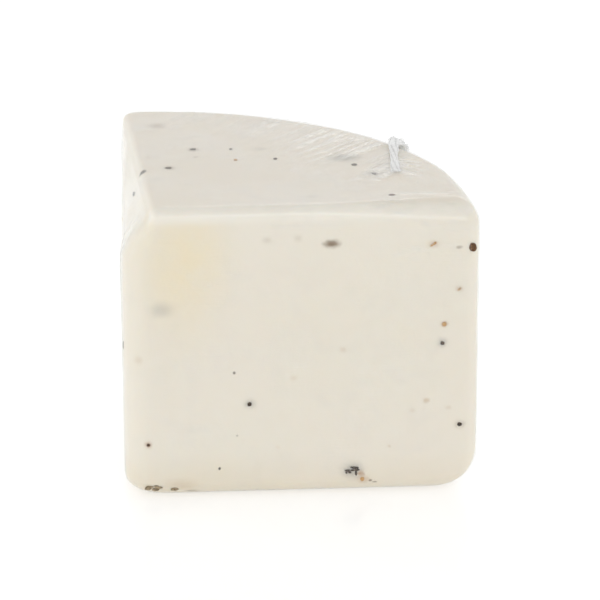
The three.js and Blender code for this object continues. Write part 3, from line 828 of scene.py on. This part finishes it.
# creases on the rind, a fan round the mouth that its edges are gathered into
rind_creases = []
mouth = np.array((RADIUS * MOUTH_ANGLE, MOUTH_HEIGHT))
for step in range(FAN_CREASES):
    heading = 2 * math.pi * (step + chance.uniform(-0.4, 0.4)) / FAN_CREASES
    way = np.array((math.cos(heading), math.sin(heading)))
    length = chance.uniform(18, 52)
    rind_creases.append((mouth + way * 1.5, mouth + way * length,
                         chance.uniform(0.25, 0.55), chance.uniform(0.45, 0.95)))
for _ in range(STRAY_CREASES):
    start = np.array((chance.uniform(8, 120), chance.uniform(2, 60)))
    heading = math.atan2(*(mouth - start)[::-1]) + chance.normal() * 0.1
    end = start + chance.uniform(10, 26) * np.array((math.cos(heading), math.sin(heading)))
    rind_creases.append((start, end, chance.uniform(0.08, 0.20), chance.uniform(0.5, 0.9)))

# a few long faint creases on the cut faces
front_creases = [
    ((59.0, 73.6), (68.0, 73.9), 0.12, 0.5),
    ((61.0, 63.4), (79.0, 65.4), 0.14, 0.45),
    ((30.0, 70.5), (58.0, 72.2), 0.08, 0.6),
    ((66.0, 70.4), (79.5, 68.4), 0.10, 0.5),
    ((52.0, 30.0), (76.0, 33.5), 0.07, 0.6),
    ((4.0, 20.0), (26.0, 14.0), 0.06, 0.7),
    ((12.0, 56.0), (36.0, 61.0), 0.07, 0.6),
]
side_creases = [((chance.uniform(2, 20), chance.uniform(52, 70)),
                 (chance.uniform(4, 30), chance.uniform(4, 30)),
                 chance.uniform(0.06, 0.16), chance.uniform(0.5, 0.9)) for _ in range(SIDE_CREASES)]
side_creases += [((76 - 3 * step, 74.5), (18 + 5 * step, 62 - 4 * step), 0.14, 0.8) for step in range(5)]

FILM_STEPS = (7, 50, 290, 50)
FILM_ROWS = (9, 26, 12, 7, 34)
film_grid = wedge_grid(FILM_OUTSIDE, True, FILM_STEPS, *FILM_ROWS)
follows_cheese = wedge_grid(FILM_OUTSIDE, False, FILM_STEPS, *FILM_ROWS)
film_out = outward(film_grid)
spots = film_grid.reshape(-1, 3)
normals = film_out.reshape(-1, 3)
hollow = np.linalg.norm(film_grid - follows_cheese, axis=2).reshape(-1)
round_angle = np.arctan2(spots[:, 1], spots[:, 0])
from_axis = np.hypot(spots[:, 0], spots[:, 1])

on_top = np.clip((spots[:, 2] - (HEIGHT - RIM_TOP)) / RIM_TOP, 0, 1)
on_rind = np.clip((from_axis - (RADIUS - 4)) / 3, 0, 1) * (1 - on_top)
on_front = np.clip(-normals[:, 1] * 1.5 - 0.2, 0, 1) * (1 - on_top)
thin_end, cut_way, cut_inward = side_cut(HEIGHT / 2)
along_cut = (spots[:, :2] - thin_end) @ cut_way
on_side = np.clip(-(normals[:, :2] @ cut_inward) * 1.5 - 0.2, 0, 1) * (1 - on_top)

pulled_flat = 1 - 0.8 * np.clip((from_axis - (RADIUS - 7)) / 5, 0, 1)
crease = on_top * pulled_flat * ridges(spots[:, 0], spots[:, 1], top_creases)
crease += on_rind * ridges(RADIUS * round_angle, spots[:, 2], rind_creases)
crease += on_front * ridges(spots[:, 0], spots[:, 2], front_creases)
crease += on_side * ridges(along_cut, spots[:, 2], side_creases)
off_floor = np.clip(spots[:, 2] / 3, 0, 1)
crease *= off_floor
unevenness = 0.05 * waves(spots, 14, 10, 21) + 0.02 * waves(spots, 4, 12, 22)
lift = crease + off_floor * np.maximum(unevenness, -0.03)
film_spots = film_grid + film_out * lift.reshape(film_grid.shape[:2])[:, :, None]
under_spots = film_spots - film_out * (FILM_OUTSIDE - FILM_INSIDE)

outer_points = grid_points(film_spots)
inner_points = grid_points(under_spots)
rows, columns = film_grid.shape[:2]
crease_share = np.concatenate((np.clip(crease / 0.30, 0, 1), (0, 0)))
hollow_share = np.concatenate((np.clip(hollow / 2.8, 0, 1), (0, 0)))
film = solid_of(
    "cling_film_sheet",
    np.concatenate((outer_points, inner_points)),
    grid_faces(rows, columns) + grid_faces(rows, columns, len(outer_points), True),
    cling_film(),
    {"crease": np.tile(crease_share, 2), "hollow": np.tile(hollow_share, 2)},
)
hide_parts("film_wrap")

# ---------------------------------------------------------------- the gathered end

# The same stations as the solid gathered end has: share of the wedge's angle, distance along the
# skin from the middle of the rim, half width and half height.
TWIST_STATIONS = np.array([
    [0.406, -9.0, 1.6, 0.5],
    [0.401, -4.8, 1.5, 0.7],
    [0.390, 0.0, 2.4, 1.0],
    [0.371, 2.9, 1.45, 0.75],
    [0.335, 6.3, 1.1, 0.62],
    [0.284, 10.1, 1.05, 0.5],
    [0.230, 13.0, 1.3, 0.12],
])
PLEATS = 5
TWIST_TURNS = 0.85
FILM_LIES = FILM_OUTSIDE + 0.1


def over_skin(share, along, lift):
    """A spot `lift` above the cheese and the direction out of it."""
    angle = WEDGE * share
    half_rim = RIM_TOP * math.pi / 4
    on_rim = min(max(along, -half_rim), half_rim)
    slope = math.pi / 4 + on_rim / RIM_TOP
    swing = RIM_TOP + lift
    reach = RADIUS - RIM_TOP + swing * math.cos(slope) - max(0, along - half_rim)
    height = HEIGHT - RIM_TOP + swing * math.sin(slope) - max(0, -along - half_rim)
    level = math.cos(slope)
    out = np.array((level * math.cos(angle), level * math.sin(angle), math.sin(slope)))
    return np.array((reach * math.cos(angle), reach * math.sin(angle), height)), out


def smooth_through(stations, steps):
    """Points on a smooth curve through the stations, evenly spaced in station number."""
    count = len(stations)
    padded = np.concatenate((stations[:1], stations, stations[-1:]))
    found = []
    for place in np.linspace(0, count - 1, steps):
        i = min(int(place), count - 2)
        t = place - i
        a, b, c, d = padded[i:i + 4]
        found.append(0.5 * (2 * b + (c - a) * t + (2 * a - 5 * b + 4 * c - d) * t ** 2
                            + (3 * b - a - 3 * c + d) * t ** 3))
    return np.array(found)


ROPE_SIDES = 84
ROPE_STEPS = 120
stations = smooth_through(TWIST_STATIONS, ROPE_STEPS)
centres = [over_skin(share, along, FILM_LIES + high) for share, along, _, high in stations]
rope_rows, rope_folds = [], []
turn = np.linspace(0, 2 * math.pi, ROPE_SIDES, endpoint=False)
for step, ((centre, out), (_, _, wide, high)) in enumerate(zip(centres, stations)):
    ahead = centres[min(step + 1, ROPE_STEPS - 1)][0] - centres[max(step - 1, 0)][0]
    sideways = np.cross(out, ahead)
    sideways /= np.linalg.norm(sideways)
    share = step / (ROPE_STEPS - 1)
    winding = TWIST_TURNS * 2 * math.pi * share
    lobes = np.abs(np.sin(PLEATS * (turn + winding) / 2 + 0.5 * math.sin(7 * share)))
    small = np.abs(np.sin(11 * (turn + 1.3 * winding) + 3 * math.sin(5 * share)))
    pleat = 0.74 + 0.22 * lobes ** 0.8 + 0.08 * small
    ragged = 1 + 0.08 * math.sin(23 * share) + 0.05 * math.sin(51 * share + 1)
    across = wide * pleat * np.cos(turn) * ragged
    upright = high * pleat * np.sin(turn)
    rope_rows.append(centre + across[:, None] * sideways + upright[:, None] * out)
    rope_folds.append(np.clip((pleat - 0.74) / 0.28, 0, 1))
rope_grid = np.array(rope_rows)
rope_points = grid_points(rope_grid)
rope_faces = grid_faces(ROPE_STEPS, ROPE_SIDES)
rope_fold = np.concatenate((np.array(rope_folds).reshape(-1), (0.5, 0.5)))

# loose lappets of film that stand out of the bunch on the rim
FLAP_ROWS, FLAP_COLUMNS = 26, 14
flap_points, flap_faces, flap_fold = [], [], []
first = len(rope_points)
FLAPS = [
    # share of the rope, side, length, width, lift, lean
    (0.30, 1.0, 3.2, 2.6, 1.0, 0.4),
    (0.33, -1.0, 2.9, 2.4, 0.9, -0.3),
    (0.37, 0.6, 2.6, 2.6, 1.3, 0.2),
    (0.27, -0.7, 3.0, 2.4, 0.9, 0.1),
    (0.42, -1.0, 2.2, 2.0, 0.8, -0.6),
    (0.24, 0.9, 2.6, 2.2, 0.7, 0.7),
]
for number, (share, side, length, width, rise, lean) in enumerate(FLAPS):
    step = int(share * (ROPE_STEPS - 1))
    centre, out = centres[step]
    ahead = centres[step + 1][0] - centres[step - 1][0]
    ahead /= np.linalg.norm(ahead)
    sideways = np.cross(out, ahead)
    for i in range(FLAP_ROWS):
        go = i / (FLAP_ROWS - 1)
        for j in range(FLAP_COLUMNS):
            across = j / (FLAP_COLUMNS - 1) - 0.5
            fan = width * across * (0.45 + 0.75 * go)
            reach = length * side * math.sin(go * 1.9) * 0.75
            tall = rise * math.sin(go * 2.6) + 0.22 * math.sin(across * 15 + number) * go
            point = centre + sideways * reach + ahead * (fan + lean * go) + out * (tall - 0.1)
            flap_points.append(point)
            # the fold value paints the flaps paler and greyer in ripples across them: painted shade
            # between the ripples
            flap_fold.append(0.35 + 0.5 * abs(math.sin(across * 15 + number)))
    for i in range(FLAP_ROWS - 1):
        for j in range(FLAP_COLUMNS - 1):
            a = first + i * FLAP_COLUMNS + j
            flap_faces.append((a, a + 1, a + 1 + FLAP_COLUMNS, a + FLAP_COLUMNS))
    first += FLAP_ROWS * FLAP_COLUMNS

gather = solid_of(
    "gathered_film_end",
    np.concatenate((rope_points, np.array(flap_points))),
    rope_faces + flap_faces,
    gathered_film(),
    {"fold": np.concatenate((rope_fold, flap_fold))},
)
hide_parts("film_twist")

# ---------------------------------------------------------------- floor, light and camera

FLOOR_REACH = 3.0
corners = [(-FLOOR_REACH, -FLOOR_REACH, 0), (FLOOR_REACH, -FLOOR_REACH, 0),
           (FLOOR_REACH, FLOOR_REACH, 0), (-FLOOR_REACH, FLOOR_REACH, 0)]
mesh = bpy.data.meshes.new("floor")
mesh.from_pydata(corners, [], [(0, 1, 2, 3)])
mesh.materials.append(white_floor())
floor = bpy.data.objects.new("floor", mesh)
bpy.context.scene.collection.objects.link(floor)

world = bpy.data.worlds.new("white_studio")
world.use_nodes = True
sky = Look("white_studio_sky")
sky.tree = world.node_tree
sky.tree.nodes.clear()
upwards = sky.coordinate(sky.node("ShaderNodeTexCoord"), "Z")
glow = sky.node("ShaderNodeBackground", None, {
    "Color": sky.blend(sky.ramp(upwards, 0.42, 1.0), tint(1.0, 1.0, 1.0), tint(0.60, 0.60, 0.595)),
    "Strength": 0.955,
})
backdrop = sky.tree.nodes.new("ShaderNodeOutputWorld")
sky.tree.links.new(glow.socket, backdrop.inputs["Surface"])
bpy.context.scene.world = world


def softbox(name, place, aim, wide, tall, radiance, mirrored=True):
    lamp = bpy.data.lights.new(name, "AREA")
    lamp.shape = "RECTANGLE"
    lamp.size = wide
    lamp.size_y = tall
    lamp.energy = radiance * math.pi * wide * tall
    holder = bpy.data.objects.new(name, lamp)
    holder.location = place
    holder.visible_glossy = mirrored
    holder.rotation_euler = (Vector(aim) - Vector(place)).to_track_quat("-Z", "Y").to_euler()
    bpy.context.scene.collection.objects.link(holder)


softbox("front_box", (0.25, -1.6, 1.1), (0, 0, 0.04), 1.0, 0.5, 1.9)
softbox("left_box", (-1.5, -0.25, 0.40), (0, 0, 0.04), 0.8, 0.7, 2.2, False)
softbox("right_box", (1.5, -0.25, 0.40), (0, 0, 0.04), 0.8, 0.7, 1.6, False)
softbox("left_strip", (-1.1, 0.7, 0.75), (0, 0, 0.05), 0.12, 1.1, 3.0)
softbox("back_strip", (0.5, 1.4, 1.0), (0, 0, 0.05), 1.2, 0.10, 3.0)

LENS = 230.3
SENSOR = 36
EYE = (-21.8, -870.8, 386.4)
AIM = (35.8, -0.6, 51.7)
camera_data = bpy.data.cameras.new("camera")
camera_data.lens = LENS
camera_data.sensor_width = SENSOR
camera = bpy.data.objects.new("camera", camera_data)
eye = Vector(to_frame(EYE))
aim = Vector(to_frame(AIM))
camera.location = eye
camera.rotation_euler = (aim - eye).to_track_quat("-Z", "Y").to_euler()
bpy.context.scene.collection.objects.link(camera)
bpy.context.scene.camera = camera
bpy.context.scene.view_settings.view_transform = "Standard"
